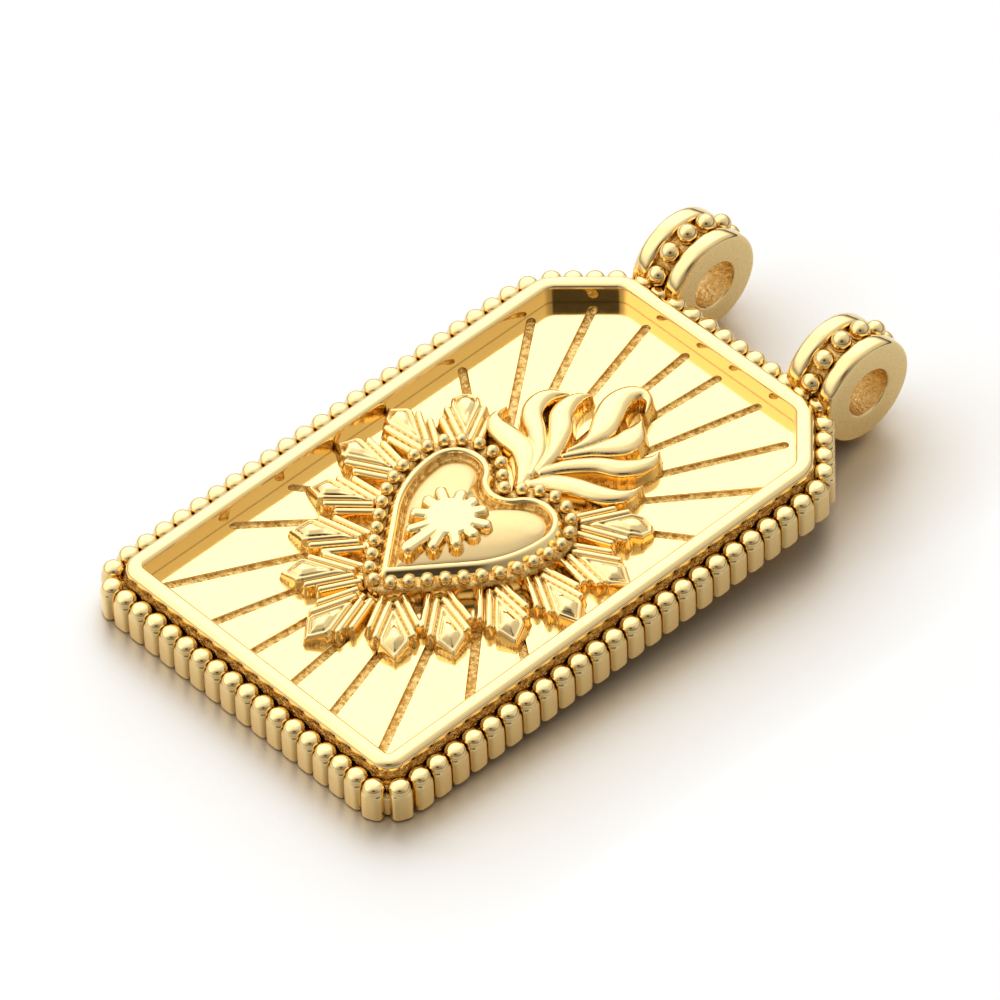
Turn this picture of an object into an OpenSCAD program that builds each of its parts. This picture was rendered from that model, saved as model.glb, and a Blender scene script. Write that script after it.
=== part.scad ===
// Sacred heart pendant, cast in one piece: a plate with two cut corners, a ribbed border,
// a polished rim round a recessed field with sunk rays, a beaded heart with a starburst,
// leaf fans and seven flames, and two beaded bails at the top.
// Frame, in millimetres: x across, y up the pendant to the bails, z out of the front face.
// The origin is the centre of the footprint, on the plane that the bails rest on.

/* [Plate] */
// Distance between the centrelines of the left and right rib rows
plate_w = 17.7; // [17.2:0.1:18.4]
// Distance between the centrelines of the bottom and top rib rows
plate_l = 28.4; // [27.8:0.1:29.2]
// Leg of the two cut corners on the rib centreline
chamfer = 3.1; // [2.8:0.1:3.5]
// Thickness from the back to the polished floor of the recess
floor_t = 1.28; // [1.1:0.02:1.4]
// Depth of the rough trench outside the rim, below the polished floor
trench_drop = 0.13; // [0.05:0.01:0.2]

/* [Ribbed border] */
// Radius of one rib
rib_r = 0.47; // [0.45:0.01:0.47]
// Height of the rib ledge above the plate's back
ledge_h = 1.42; // [1.3:0.02:1.6]
// Radius of the round head on each rib
dome_r = 0.43; // [0.36:0.01:0.44]

/* [Rim] */
// Distance from the rib centreline in to the rim's crest
rim_inset = 0.92; // [0.9:0.01:1]
// Height of the rim's crest above the plate's back
rim_h = 2.23; // [2:0.01:2.5]

/* [Sunk rays] */
// Width of one sunk ray
groove_w = 0.42; // [0.3:0.02:0.5]
// Depth of one sunk ray
groove_d = 0.15; // [0.14:0.01:0.2]

/* [Heart] */
// Radius of the heart's two lobes on the bezel's crest
lobe_r = 1.3; // [1.2:0.02:1.36]
// Height of the bezel's crest above the plate's back
bezel_h = 2.45; // [2.35:0.01:2.55]
// Radius of the beads round the heart
bead_r = 0.3; // [0.26:0.01:0.31]
// Height of the starburst's flat above the plate's back
star_h = 2.95; // [2.7:0.05:3.1]

/* [Leaves and flames] */
// Length of one leaf fan from its foot to its tip
fan_l = 3.05; // [2.9:0.05:3.1]
// Height of the leaves above the plate's back
leaf_h = 1.98; // [1.8:0.02:2.1]
// Height of the flames above the plate's back
flame_h = 2.15; // [1.95:0.05:2.3]

/* [Bails] */
// Distance between the middles of the two bails
bail_pitch = 9.3; // [8.8:0.1:9.8]
// Width of one bail
bail_w = 2.74; // [2.68:0.02:2.8]
// Outer radius of a bail's two flanges
bail_r = 2.47; // [2.3:0.01:2.6]
// Radius of the hole through a bail
bore_r = 1.14; // [0.9:0.01:1.2]
// Height of the bore's axis above the plate's back
bail_axis_h = 1.1; // [1:0.05:1.3]

/* [Hidden] */
// Rib rows
slab_out = 0.2;
slab_corner_r = 1.5;
bottom_ribs = 9;
side_ribs = 25;
cut_ribs = 4;
top_ribs = 6;
corner_tuck = 0.12;
drum_r = rib_r - 0.02;
dome_sink = 0.04;
root_h = 0.9;

// Levels above the plate's back
trench_h = floor_t - trench_drop;
groove_h = floor_t - groove_d;

// Recess
field_inset = 1.35;
ray_y = plate_l / 2;
ray_start = 3.5;
ray_gap = 0.3;
ray_angles = [4.5, 15.3, 26.7, 38, 54.5, 124, 138.3, 152, 163.7, 174.3];

// Heart outline on the bezel's crest
lobe_x = 2.08;
lobe_y = ray_y - 0.07;
flank_r = 5;
flank_a = 39.3;
notch_r = 1.17;
notch_y = lobe_y + sqrt(pow(lobe_r + notch_r, 2) - lobe_x * lobe_x);
notch_a = atan2(notch_y - lobe_y, lobe_x);
flank_x = lobe_x + lobe_r - flank_r;
point_y = lobe_y - flank_r * sin(flank_a)
    - (flank_x + flank_r * cos(flank_a)) * cos(flank_a) / sin(flank_a);
point_r = 0.06;

// Beads round the heart
bead_out = 0.72;
bead_count = 17;
bead_h = bezel_h - 0.14;
skirt_h = bead_h - 0.18;
face_in = 0.27;

// Starburst: angle from the downward ray, length and half-width of each ray
star_y = 11.95;
star_rays = [[0, 2.75, 0.29], [22, 2.0, 0.23], [55, 1.72, 0.25], [90, 1.6, 0.26],
    [118, 1.78, 0.25], [152, 1.6, 0.26], [180, 1.5, 0.26]];
star_hub_r = 1.15;

// Leaf fans: foot x and y, and the direction that the fan points in
fans = [[0, 6.65, -90], [1.2, 7.5, -41.7], [2.45, 9.0, -32.5], [3.6, 10.9, -25],
    [4.42, 12.8, -10.5], [4.4, 14.62, 12], [3.5, 16.1, 43]];
fan_wide = 0.65;
rod_r = 0.155;
inner_rod = [[0.05, 0.165], [1.9, 0.79]];
outer_rod = [[-0.3, 0.44], [1.3, 1.0]];

// Flames, from the left round to the right: the tongue's lift above the flames' height, then
// x, y and width at points along its middle
tongue_swell = 1.15;
tongues = [
    [0, [[0, 15.9, 0.5], [-0.5, 16.7, 0.75], [-1.3, 17.35, 0.9], [-2.3, 17.5, 0.95], [-3.2, 17.6, 0.75],
        [-3.65, 18.0, 0.4], [-3.7, 18.65, 0.1]]],
    [0.03, [[-0.1, 16.6, 0.35], [-0.7, 17.7, 0.55], [-1.7, 18.5, 0.7], [-2.6, 19.1, 0.8],
        [-2.95, 19.8, 0.75], [-2.85, 20.5, 0.55], [-2.35, 21.0, 0.1]]],
    [0.06, [[0, 17.0, 0.35], [-0.35, 18.2, 0.6], [-1.0, 19.2, 0.85], [-1.65, 19.9, 0.85],
        [-1.9, 20.6, 0.7], [-1.85, 21.2, 0.45], [-1.6, 21.65, 0.1]]],
    [0.1, [[0.1, 18.6, 0.2], [0.3, 19.6, 0.5], [0.2, 20.5, 0.95], [-0.2, 21.3, 1.05], [-0.5, 22.0, 1.0],
        [-0.5, 22.7, 0.8], [-0.15, 23.15, 0.55], [0.35, 23.1, 0.35], [0.8, 22.5, 0.1]]],
    [0.05, [[0.15, 18.3, 0.3], [0.7, 19.2, 0.45], [1.15, 19.9, 0.8], [1.45, 20.6, 1.0],
        [1.35, 21.3, 0.85], [1.0, 22.1, 0.1]]],
    [0.035, [[0.15, 17.0, 0.4], [0.6, 17.9, 0.6], [1.5, 18.9, 0.7], [2.4, 19.5, 0.8], [2.9, 20.2, 0.65],
        [3.0, 20.8, 0.5], [2.85, 21.3, 0.1]]],
    [0.005, [[0.3, 16.2, 0.5], [0.9, 16.9, 0.8], [1.8, 17.4, 0.85], [2.8, 17.8, 0.8], [3.5, 18.3, 0.6],
        [3.75, 18.8, 0.4], [3.75, 19.4, 0.1]]]
];

// Bails
bail_y = plate_l + 2.22;
flange_t = 0.88;
channel_r = 2.06;
bail_beads = 13;
bail_bead_r = 0.44;
bail_bead_ring_r = 2.33;
bail_bead_a = 180 / bail_beads;
bail_reach = bail_bead_ring_r * cos(bail_bead_a / 2) + bail_bead_r;

// Placing the plate in the frame
low_y = -rib_r;
high_y = bail_y + bail_bead_ring_r * cos(bail_bead_a) + bail_bead_r;
back_z = bail_reach - bail_axis_h;

// Point at radius r and angle a
function polar(r, a) = [r * cos(a), r * sin(a)];

// Unit vector from a to b
function toward(a, b) = (b - a) / norm(b - a);

// Arc that rounds corner p between sides whose outward directions are a0 and a1
function corner_arc(p, a0, a1, r, steps) =
    let (n0 = polar(1, a0), n1 = polar(1, a1), c = p - r * (n0 + n1) / (1 + n0 * n1))
    [for (i = [0 : steps]) let (a = a0 + (a1 - a0) * i / steps) [c + polar(r, a), polar(1, a)]];

// Plate outline moved out by d, as pairs of a point and its outward direction
function plate_path(d, r_low, r_cut, steps) =
    let (hw = plate_w / 2 + d, top = plate_l + d, leg = chamfer + (2 - sqrt(2)) * d)
    concat(
        corner_arc([hw, -d], -90, 0, r_low, steps),
        corner_arc([hw, top - leg], 0, 45, r_cut, steps),
        corner_arc([hw - leg, top], 45, 90, r_cut, steps),
        corner_arc([leg - hw, top], 90, 135, r_cut, steps),
        corner_arc([-hw, top - leg], 135, 180, r_cut, steps),
        corner_arc([-hw, -d], 180, 270, r_low, steps));

function plate_outline(d, r_low = 0.4, r_cut = 0.8) = [for (s = plate_path(d, r_low, r_cut, 3)) s[0]];

// Centres of the ribs on the right half, row by row
function half_ribs() =
    let (hw = plate_w / 2, low_pitch = (hw - 0.87) / (bottom_ribs - 0.5),
        side_low = 0.8, side_high = plate_l - chamfer - 0.6, cut_l = chamfer * sqrt(2),
        top_pitch = (hw - chamfer - 0.46) / (top_ribs - 0.5))
    concat(
        [for (i = [0 : bottom_ribs - 1]) [(i + 0.5) * low_pitch, i == bottom_ribs - 1 ? 0.05 : 0]],
        [for (i = [0 : side_ribs - 1])
            [hw - (i == 0 || i == side_ribs - 1 ? corner_tuck : 0),
                side_low + (side_high - side_low) * i / (side_ribs - 1)]],
        [for (i = [0 : cut_ribs - 1])
            [hw - corner_tuck, plate_l - chamfer - corner_tuck]
                + cut_l * (i + 0.7) / (cut_ribs + 0.65) * polar(1, 135)],
        [for (i = [0 : top_ribs - 1]) [(i + 0.5) * top_pitch, plate_l - 0.05]]);

// Heart outline moved out by d, from the notch round the right lobe to the point and back
function heart_half(d) =
    let (r = max(d, 0) + point_r, tip_y = point_y + (r - d) / sin(flank_a))
    concat(
        [for (i = [1 : 4]) let (a = -90 + (90 - notch_a) * i / 4) [0, notch_y] + polar(notch_r - d, a)],
        [for (i = [1 : 10]) let (a = (180 - notch_a) * (1 - i / 10))
            [lobe_x, lobe_y] + polar(lobe_r + d, a)],
        [for (i = [1 : 4]) [flank_x, lobe_y] + polar(flank_r + d, -flank_a * i / 4)],
        [for (i = [0 : 2]) [0, tip_y] + polar(r, -flank_a + (flank_a - 90) * i / 3)]);

function heart_outline(d) =
    let (half = heart_half(d), n = len(half), r = max(d, 0) + point_r)
    concat([[0, notch_y - notch_r + d]],
        [for (p = half) [-p[0], p[1]]],
        [[0, point_y + (r - d) / sin(flank_a) - r]],
        [for (i = [n - 1 : -1 : 0]) half[i]]);

// Point on a polyline at distance s from its start
function along(path, s, i = 0) =
    let (step = norm(path[i + 1] - path[i]))
    s <= step || i == len(path) - 2 ? path[i] + toward(path[i], path[i + 1]) * s
        : along(path, s - step, i + 1);
function path_length(path) = let (steps = [for (i = [1 : len(path) - 1]) norm(path[i] - path[i - 1])])
    steps * [for (s = steps) 1];

// Smooth curve through the points p, with n spans between each two
function smooth(p, n) = [for (i = [0 : len(p) - 2], k = [0 : n - 1 + (i == len(p) - 2 ? 1 : 0)])
    let (t = k / n, a = p[max(i - 1, 0)], b = p[i], c = p[i + 1], d = p[min(i + 2, len(p) - 1)])
    0.5 * (2 * b + (c - a) * t + (2 * a - 5 * b + 4 * c - d) * t * t + (3 * b - a - 3 * c + d) * t * t * t)];

// Middle of a ring of points
function middle_of(ring) = [for (p = ring) 1 / len(ring)] * ring;

// Closed body through rings of equal count, each end closed by a fan round its middle
module loft(rings) {
    n = len(rings[0]);
    m = len(rings);
    sides = [for (i = [0 : m - 2], j = [0 : n - 1]) let (k = (j + 1) % n)
        each [[i * n + j, (i + 1) * n + k, i * n + k], [i * n + j, (i + 1) * n + j, (i + 1) * n + k]]];
    ends = [for (j = [0 : n - 1]) let (k = (j + 1) % n)
        each [[j, k, m * n], [(m - 1) * n + k, (m - 1) * n + j, m * n + 1]]];
    polyhedron(concat([for (r = rings) each r], [middle_of(rings[0]), middle_of(rings[m - 1])]),
        concat(sides, ends), convexity = 6);
}

// Band whose section follows a closed path
module closed_sweep(rings) {
    n = len(rings[0]);
    m = len(rings);
    faces = [for (i = [0 : m - 1], j = [0 : n - 1]) let (k = (j + 1) % n, h = (i + 1) % m)
        each [[i * n + j, h * n + k, i * n + k], [i * n + j, h * n + j, h * n + k]]];
    polyhedron([for (r = rings) each r], faces, convexity = 8);
}

// Body with upright walls that tapers through rows of [outline, height]
module stack_rows(rows) {
    loft([for (row = rows) [for (p = row[0]) [p[0], p[1], row[1]]]]);
}

module mirrored() {
    children();
    mirror([1, 0, 0]) children();
}

// Slab with the rib columns' feet, up to the floor of the trench
module slab() {
    linear_extrude(trench_h)
        union() {
            polygon(plate_outline(slab_out, slab_corner_r, 1));
            mirrored() for (p = half_ribs()) translate(p) circle(rib_r, $fn = 48);
        }
}

// Polished floor inside the rim, with the sunk rays cut into it
module field() {
    difference() {
        translate([0, 0, root_h])
            linear_extrude(floor_t - root_h) polygon(plate_outline(-rim_inset - 0.05));
        mirrored() for (a = ray_angles) sunk_ray(a);
    }
}

// Distance from the rays' centre to the field's edge at angle a from straight up
function ray_reach(a) =
    let (side = plate_w / 2 - field_inset, end = ray_y - field_inset,
        leg = chamfer - (2 - sqrt(2)) * field_inset, c = cos(a), s = sin(a))
    min(side / s, end / abs(c), c > 0 ? (side + end - leg) / (s + c) : 100);

module sunk_ray(a) {
    reach = ray_reach(a) - ray_gap - groove_w / 2;
    translate([0, ray_y, groove_h])
        rotate(-a)
            linear_extrude(1)
                union() {
                    translate([-groove_w / 2, ray_start]) square([groove_w, reach - ray_start]);
                    translate([0, reach]) circle(groove_w / 2, $fn = 24);
                }
}

// Round-topped heads of the ribs
module rib_heads() {
    mirrored() for (p = half_ribs()) translate([p[0], p[1], 0]) {
        translate([0, 0, root_h]) cylinder(r = drum_r, h = ledge_h - root_h, $fn = 48);
        translate([0, 0, ledge_h - dome_sink]) sphere(dome_r, $fn = 48);
    }
}

// Smooth raised rim: [distance out from the crest, height]
module rim() {
    section = [[-0.45, root_h - 0.05], [-0.42, floor_t], [-0.34, rim_h - 0.32], [-0.25, rim_h - 0.1],
        [-0.1, rim_h - 0.01], [0.1, rim_h - 0.01], [0.24, rim_h - 0.1], [0.32, rim_h - 0.32], [0.32, root_h]];
    closed_sweep([for (s = plate_path(-rim_inset, 0.55, 1.1, 3))
        [for (q = section) let (p = s[0] + q[0] * s[1]) [p[0], p[1], q[1]]]]);
}

// Heart: skirt under the beads, bezel and puffed face
module heart() {
    face = heart_outline(-face_in);
    middle = [0, lobe_y - 1.9];
    stack_rows([
        [heart_outline(0.98), root_h - 0.03],
        [heart_outline(0.98), skirt_h - 0.15],
        [heart_outline(0.9), skirt_h],
        [heart_outline(0.42), skirt_h + 0.03],
        [heart_outline(0.07), bezel_h - 0.02],
        [heart_outline(-0.05), bezel_h],
        [face, bezel_h - 0.32],
        [[for (p = face) middle + 0.75 * (p - middle)], bezel_h - 0.18],
        [[for (p = face) middle + 0.35 * (p - middle)], bezel_h - 0.08]
    ]);
}

module heart_beads() {
    half = concat([[0, notch_y - notch_r + bead_out]], heart_half(bead_out),
        [[0, point_y + point_r / sin(flank_a) - bead_out - point_r]]);
    total = path_length(half);
    for (i = [0 : bead_count + 1]) {
        p = along(half, total * i / (bead_count + 1));
        translate([p[0], p[1], bead_h]) sphere(bead_r, $fn = 32);
        if (i > 0 && i <= bead_count) translate([-p[0], p[1], bead_h]) sphere(bead_r, $fn = 32);
    }
}

// Starburst on the heart's face, its rays with round ends
module starburst() {
    translate([0, star_y, bezel_h - 0.6])
        linear_extrude(star_h - bezel_h + 0.6)
            union() {
                circle(star_hub_r, $fn = 48);
                for (ray = star_rays, side = ray[0] == 0 || ray[0] == 180 ? [1] : [1, -1])
                    rotate(side * ray[0] - 90) {
                        translate([0, -ray[2]]) square([ray[1] - ray[2], 2 * ray[2]]);
                        translate([ray[1] - ray[2], 0]) circle(ray[2], $fn = 24);
                    }
            }
}

// Outline of a rod with round ends from a to b
function rod_outline(a, b, r) =
    let (u = toward(a, b), dir = atan2(u[1], u[0]))
    concat([for (t = [-90 : 60 : 90]) b + polar(r, dir + t)],
        [for (t = [90 : 60 : 270]) a + polar(r, dir + t)]);

module rod(a, b, top) {
    stack_rows([
        [rod_outline(a, b, rod_r), root_h + 0.05 - top / 50],
        [rod_outline(a, b, rod_r), top - 0.12],
        [rod_outline(a, b, rod_r * 0.45), top]
    ]);
}

// One leaf fan: a pointed leaf between two pairs of splayed rods
module leaf_fan(lift) {
    wide = fan_l - 0.79;
    edge = [[0, -0.12, 0], [wide, -fan_wide, 0], [fan_l, 0, -0.3], [wide, fan_wide, 0], [0, 0.12, 0]];
    crown = [wide - 0.25, 0];
    loft([
        [for (p = edge) [p[0], p[1], root_h]],
        [for (p = edge) [p[0], p[1], leaf_h - 0.08 + p[2]]],
        [for (p = edge) [p[0] * 0.94 + 0.08, p[1] * 0.84, leaf_h + p[2] * 0.8]],
        [for (p = edge) [crown[0] + (p[0] - crown[0]) * 0.4, p[1] * 0.4, leaf_h + 0.05 + p[2] * 0.3]]
    ]);
    for (side = [0, 1]) mirror([0, side, 0]) {
        rod(inner_rod[0], inner_rod[1], leaf_h - 0.04 + lift);
        rod(outer_rod[0], outer_rod[1], leaf_h - 0.07 + lift * 2);
    }
}

module leaf_fans() {
    for (i = [0 : len(fans) - 1]) let (f = fans[i])
        for (side = f[0] == 0 ? [1] : [1, -1])
            translate([side * f[0], f[1], 0])
                rotate(side == 1 ? f[2] : 180 - f[2]) leaf_fan(i % 2 * 0.013);
}

// One tongue of flame along the points [x, y, width], round across its back
module flame(points, top, root) {
    line = smooth(points, 2);
    n = len(line);
    loft([for (i = [0 : n - 1]) let (
        p = line[i],
        ahead = line[min(i + 1, n - 1)],
        behind = line[max(i - 1, 0)],
        u = toward([behind[0], behind[1]], [ahead[0], ahead[1]]),
        side = [u[1], -u[0]] * p[2] * tongue_swell / 2,
        c = [p[0], p[1]])
        [for (q = [[-1, root], [-1, top - 0.26], [-0.75, top - 0.1], [-0.15, top],
            [0.55, top - 0.04], [1, top - 0.22], [1, root]])
            [c[0] + side[0] * q[0], c[1] + side[1] * q[0], q[1]]]]);
}

module flames() {
    for (i = [0 : len(tongues) - 1])
        flame(tongues[i][1], flame_h + tongues[i][0], root_h - 0.01 * i);
}

// Half of a bail's section, from its middle out to one face: [radius, distance from the middle]
function flange_section() = let (w = bail_w / 2)
    [[channel_r, w - flange_t], [bail_r - 0.14, w - flange_t + 0.04], [bail_r - 0.02, w - flange_t + 0.2],
        [bail_r, w - 0.28], [bail_r - 0.05, w - 0.1], [bail_r - 0.14, w]];

module bail() {
    half = flange_section();
    n = len(half);
    rotate([0, 90, 0]) {
        difference() {
            rotate_extrude($fn = 96)
                polygon(concat([[0, bail_w / 2], [0, -bail_w / 2]],
                    [for (i = [n - 1 : -1 : 0]) [half[i][0], -half[i][1]]], half));
            cylinder(r = bore_r, h = bail_w + 2, center = true, $fn = 96);
        }
        for (i = [1 : bail_beads - 1]) let (a = 180 + 2 * bail_bead_a * i)
            translate([-bail_bead_ring_r * sin(a), bail_bead_ring_r * cos(a), 0])
                sphere(bail_bead_r, $fn = 48);
    }
}

module bails() {
    for (side = [-1, 1]) translate([side * bail_pitch / 2, bail_y, bail_axis_h]) bail();
}

module pendant() {
    color("gold")
        translate([0, -(low_y + high_y) / 2, back_z]) {
            slab();
            field();
            rib_heads();
            rim();
            heart();
            heart_beads();
            starburst();
            leaf_fans();
            flames();
            bails();
        }
}

pendant();
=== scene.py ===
"""Looks of a cast, polished sacred heart pendant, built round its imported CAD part."""

import math

import bmesh
import bpy
import numpy as np
from mathutils import Matrix, Vector
from mathutils.geometry import delaunay_2d_cdt


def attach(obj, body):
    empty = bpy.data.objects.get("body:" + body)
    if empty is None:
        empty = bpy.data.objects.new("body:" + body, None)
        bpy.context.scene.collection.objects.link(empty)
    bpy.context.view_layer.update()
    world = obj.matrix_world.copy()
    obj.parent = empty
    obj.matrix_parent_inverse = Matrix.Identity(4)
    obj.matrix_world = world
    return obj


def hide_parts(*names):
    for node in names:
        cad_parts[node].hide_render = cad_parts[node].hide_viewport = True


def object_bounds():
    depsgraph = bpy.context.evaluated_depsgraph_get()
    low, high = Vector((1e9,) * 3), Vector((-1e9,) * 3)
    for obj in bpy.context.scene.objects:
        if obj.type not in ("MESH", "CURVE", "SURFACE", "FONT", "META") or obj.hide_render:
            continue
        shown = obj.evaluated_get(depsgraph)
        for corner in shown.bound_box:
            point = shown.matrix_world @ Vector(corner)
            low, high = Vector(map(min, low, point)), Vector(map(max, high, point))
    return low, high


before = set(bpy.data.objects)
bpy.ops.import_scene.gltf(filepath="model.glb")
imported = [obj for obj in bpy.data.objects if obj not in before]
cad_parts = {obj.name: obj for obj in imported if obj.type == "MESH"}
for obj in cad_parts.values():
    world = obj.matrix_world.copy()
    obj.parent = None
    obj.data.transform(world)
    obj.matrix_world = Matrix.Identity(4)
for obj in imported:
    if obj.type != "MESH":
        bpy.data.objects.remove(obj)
cad_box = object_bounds()

# ---- Drawing frame: millimetres, x across, y up from the bottom rib row, h above the plate's back
MM = 0.001
PLATE_W, PLATE_L, CHAMFER = 17.7, 28.4, 3.1
FLOOR_H, TRENCH_H, ROOT_H = 1.28, 1.15, 0.9
RIB_R = 0.47
RIM_INSET = 0.92
LOW_RIBS, SIDE_RIBS, CUT_RIBS, TOP_RIBS = 9, 25, 4, 6
BACK_Z = 1.65302
SHIFT = np.array([0.0, cad_box[0].y / MM + RIB_R, BACK_Z])


def polar(r, a):
    return np.array([r * math.cos(math.radians(a)), r * math.sin(math.radians(a))])


def corner_arc(p, a0, a1, r, steps):
    n0, n1 = polar(1, a0), polar(1, a1)
    c = np.array(p) - r * (n0 + n1) / (1 + n0 @ n1)
    angles = [a0 + (a1 - a0) * i / steps for i in range(steps + 1)]
    return [(c + polar(r, a), polar(1, a)) for a in angles]


def plate_path(d, r_low, r_cut, steps):
    """Plate outline moved out by d, as (point, outward direction) pairs, anticlockwise."""
    hw, top, leg = PLATE_W / 2 + d, PLATE_L + d, CHAMFER + (2 - math.sqrt(2)) * d
    return (
        corner_arc((hw, -d), -90, 0, r_low, steps)
        + corner_arc((hw, top - leg), 0, 45, r_cut, steps)
        + corner_arc((hw - leg, top), 45, 90, r_cut, steps)
        + corner_arc((leg - hw, top), 90, 135, r_cut, steps)
        + corner_arc((-hw, top - leg), 135, 180, r_cut, steps)
        + corner_arc((-hw, -d), 180, 270, r_low, steps)
    )


def rib_centres():
    """Ribs of the right half, from the bottom row up its side and cut corner to the top row, then of the left."""
    hw, tuck = PLATE_W / 2, 0.12  # the ribs at the corners stand back by tuck
    low_pitch = (hw - 0.87) / (LOW_RIBS - 0.5)
    out = [((i + 0.5) * low_pitch, 0.05 if i == LOW_RIBS - 1 else 0.0) for i in range(LOW_RIBS)]
    low, high, end = 0.8, PLATE_L - CHAMFER - 0.6, SIDE_RIBS - 1
    out += [(hw - (tuck if i in (0, end) else 0), low + (high - low) * i / end) for i in range(SIDE_RIBS)]
    cut = CHAMFER * math.sqrt(2)
    for i in range(CUT_RIBS):
        p = np.array([hw - tuck, PLATE_L - CHAMFER - tuck]) + cut * (i + 0.7) / 4.65 * polar(1, 135)
        out.append(tuple(p))
    top_pitch = (hw - CHAMFER - 0.46) / (TOP_RIBS - 0.5)
    out += [((i + 0.5) * top_pitch, PLATE_L - 0.05) for i in range(TOP_RIBS)]
    return out + [(-x, y) for x, y in out]


# ---- Heart outline, as arcs round the lobes, the flanks and the notch
RAY_Y = PLATE_L / 2
LOBE_R, LOBE_X, LOBE_Y = 1.3, 2.08, RAY_Y - 0.07
FLANK_R, FLANK_A, NOTCH_R, POINT_R = 5.0, 39.3, 1.17, 0.06
NOTCH_Y = LOBE_Y + math.sqrt((LOBE_R + NOTCH_R) ** 2 - LOBE_X**2)
NOTCH_A = math.degrees(math.atan2(NOTCH_Y - LOBE_Y, LOBE_X))
FLANK_X = LOBE_X + LOBE_R - FLANK_R
SIN_A, COS_A = math.sin(math.radians(FLANK_A)), math.cos(math.radians(FLANK_A))
POINT_Y = LOBE_Y - FLANK_R * SIN_A - (FLANK_X + FLANK_R * COS_A) * COS_A / SIN_A


def heart_half(d, fine=6):
    """Right half of the heart outline moved out by d, from the notch to the point."""
    r = max(d, 0) + POINT_R
    tip = np.array([0, POINT_Y + (r - d) / SIN_A])
    notch, lobe, flank = np.array([0, NOTCH_Y]), np.array([LOBE_X, LOBE_Y]), np.array([FLANK_X, LOBE_Y])
    a, b, c = 2 * fine, 5 * fine, 5 * fine
    out = [notch + polar(NOTCH_R - d, -90 + (90 - NOTCH_A) * i / a) for i in range(a + 1)]
    out += [lobe + polar(LOBE_R + d, (180 - NOTCH_A) * (1 - i / b)) for i in range(1, b + 1)]
    out += [flank + polar(FLANK_R + d, -FLANK_A * i / c) for i in range(1, c + 1)]
    out += [tip + polar(r, -FLANK_A + (FLANK_A - 90) * i / 5) for i in range(1, 6)]
    return np.array(out)


def heart_ring(d):
    """The whole outline moved out by d, anticlockwise."""
    right = heart_half(d)
    return np.vstack([right[:1], right[1:-1] * [-1, 1], right[-1:], right[-2:0:-1]])


# ---- Meshes
def new_object(name, verts, faces, mats, which=None, flat=()):
    """A piece from points in millimetres; which gives each face's material and flat the unsmoothed ones."""
    mesh = bpy.data.meshes.new(name)
    mesh.from_pydata(((np.asarray(verts, float) + SHIFT) * MM).tolist(), [], faces)
    for m in mats:
        mesh.materials.append(m)
    smooth = np.ones(len(mesh.polygons), bool)
    smooth[list(flat)] = False
    mesh.polygons.foreach_set("use_smooth", smooth)
    if which is not None:
        mesh.polygons.foreach_set("material_index", np.asarray(which, np.int32))
    bm = bmesh.new()
    bm.from_mesh(mesh)
    bmesh.ops.recalc_face_normals(bm, faces=bm.faces)
    bm.to_mesh(mesh)
    bm.free()
    obj = bpy.data.objects.new(name, mesh)
    bpy.context.scene.collection.objects.link(obj)
    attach(obj, "root")
    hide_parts("pendant")
    return obj


class Build:
    """Collects points and faces of several closed shells for one piece."""

    def __init__(self):
        self.verts, self.faces, self.which, self.flat = [], [], [], []

    def add(self, verts, faces, mat=0, flat=False):
        base = len(self.verts)
        self.verts.extend(np.asarray(verts, float).tolist())
        mats = [mat] * len(faces) if np.isscalar(mat) else mat
        if flat:
            self.flat.extend(range(len(self.faces), len(self.faces) + len(faces)))
        self.faces.extend([tuple(int(i) + base for i in f) for f in faces])
        self.which.extend(mats)
        return base

    def done(self, name, mats):
        return new_object(name, self.verts, self.faces, mats, self.which, self.flat)


def ring_faces(m, n, wrap=False):
    """Quads between m rings of n points, and from the last to the first where wrap is set."""
    out = []
    for i in range(m if wrap else m - 1):
        h = (i + 1) % m
        for j in range(n):
            k = (j + 1) % n
            out.append((i * n + j, i * n + k, h * n + k, h * n + j))
    return out


def loft(build, rings, mat=0, mats=None):
    """A closed body through rings of equal count, its ends closed by fans."""
    m, n = len(rings), len(rings[0])
    verts = np.vstack(rings + [np.mean(rings[0], axis=0)[None], np.mean(rings[-1], axis=0)[None]])
    faces = ring_faces(m, n)
    which = [mat] * len(faces) if mats is None else [mats[i] for i in range(m - 1) for _ in range(n)]
    faces += [(j, m * n, (j + 1) % n) for j in range(n)]
    faces += [((m - 1) * n + j, (m - 1) * n + (j + 1) % n, m * n + 1) for j in range(n)]
    which += [mat if mats is None else mats[0]] * n + [mat if mats is None else mats[-1]] * n
    build.add(verts, faces, which)


def level(points, h):
    points = np.asarray(points)
    return np.column_stack([points, np.full(len(points), h)])


def ball(subdivisions):
    bm = bmesh.new()
    bmesh.ops.create_icosphere(bm, subdivisions=subdivisions, radius=1)
    verts = np.array([v.co[:] for v in bm.verts])
    faces = [tuple(v.index for v in f.verts) for f in bm.faces]
    bm.free()
    return verts, faces


# ---- Height fields, for the cast relief
def smax(a, b, k):
    h = np.clip(0.5 + 0.5 * (a - b) / k, 0, 1)
    return b + (a - b) * h + k * h * (1 - h)


def step_up(x):
    x = np.clip(x, 0, 1)
    return x * x * (3 - 2 * x)


def seg_dist(x, y, a, b):
    ax, ay, bx, by = *a, *b
    dx, dy = bx - ax, by - ay
    t = np.clip(((x - ax) * dx + (y - ay) * dy) / (dx * dx + dy * dy), 0, 1)
    return np.hypot(x - ax - t * dx, y - ay - t * dy)


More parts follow.
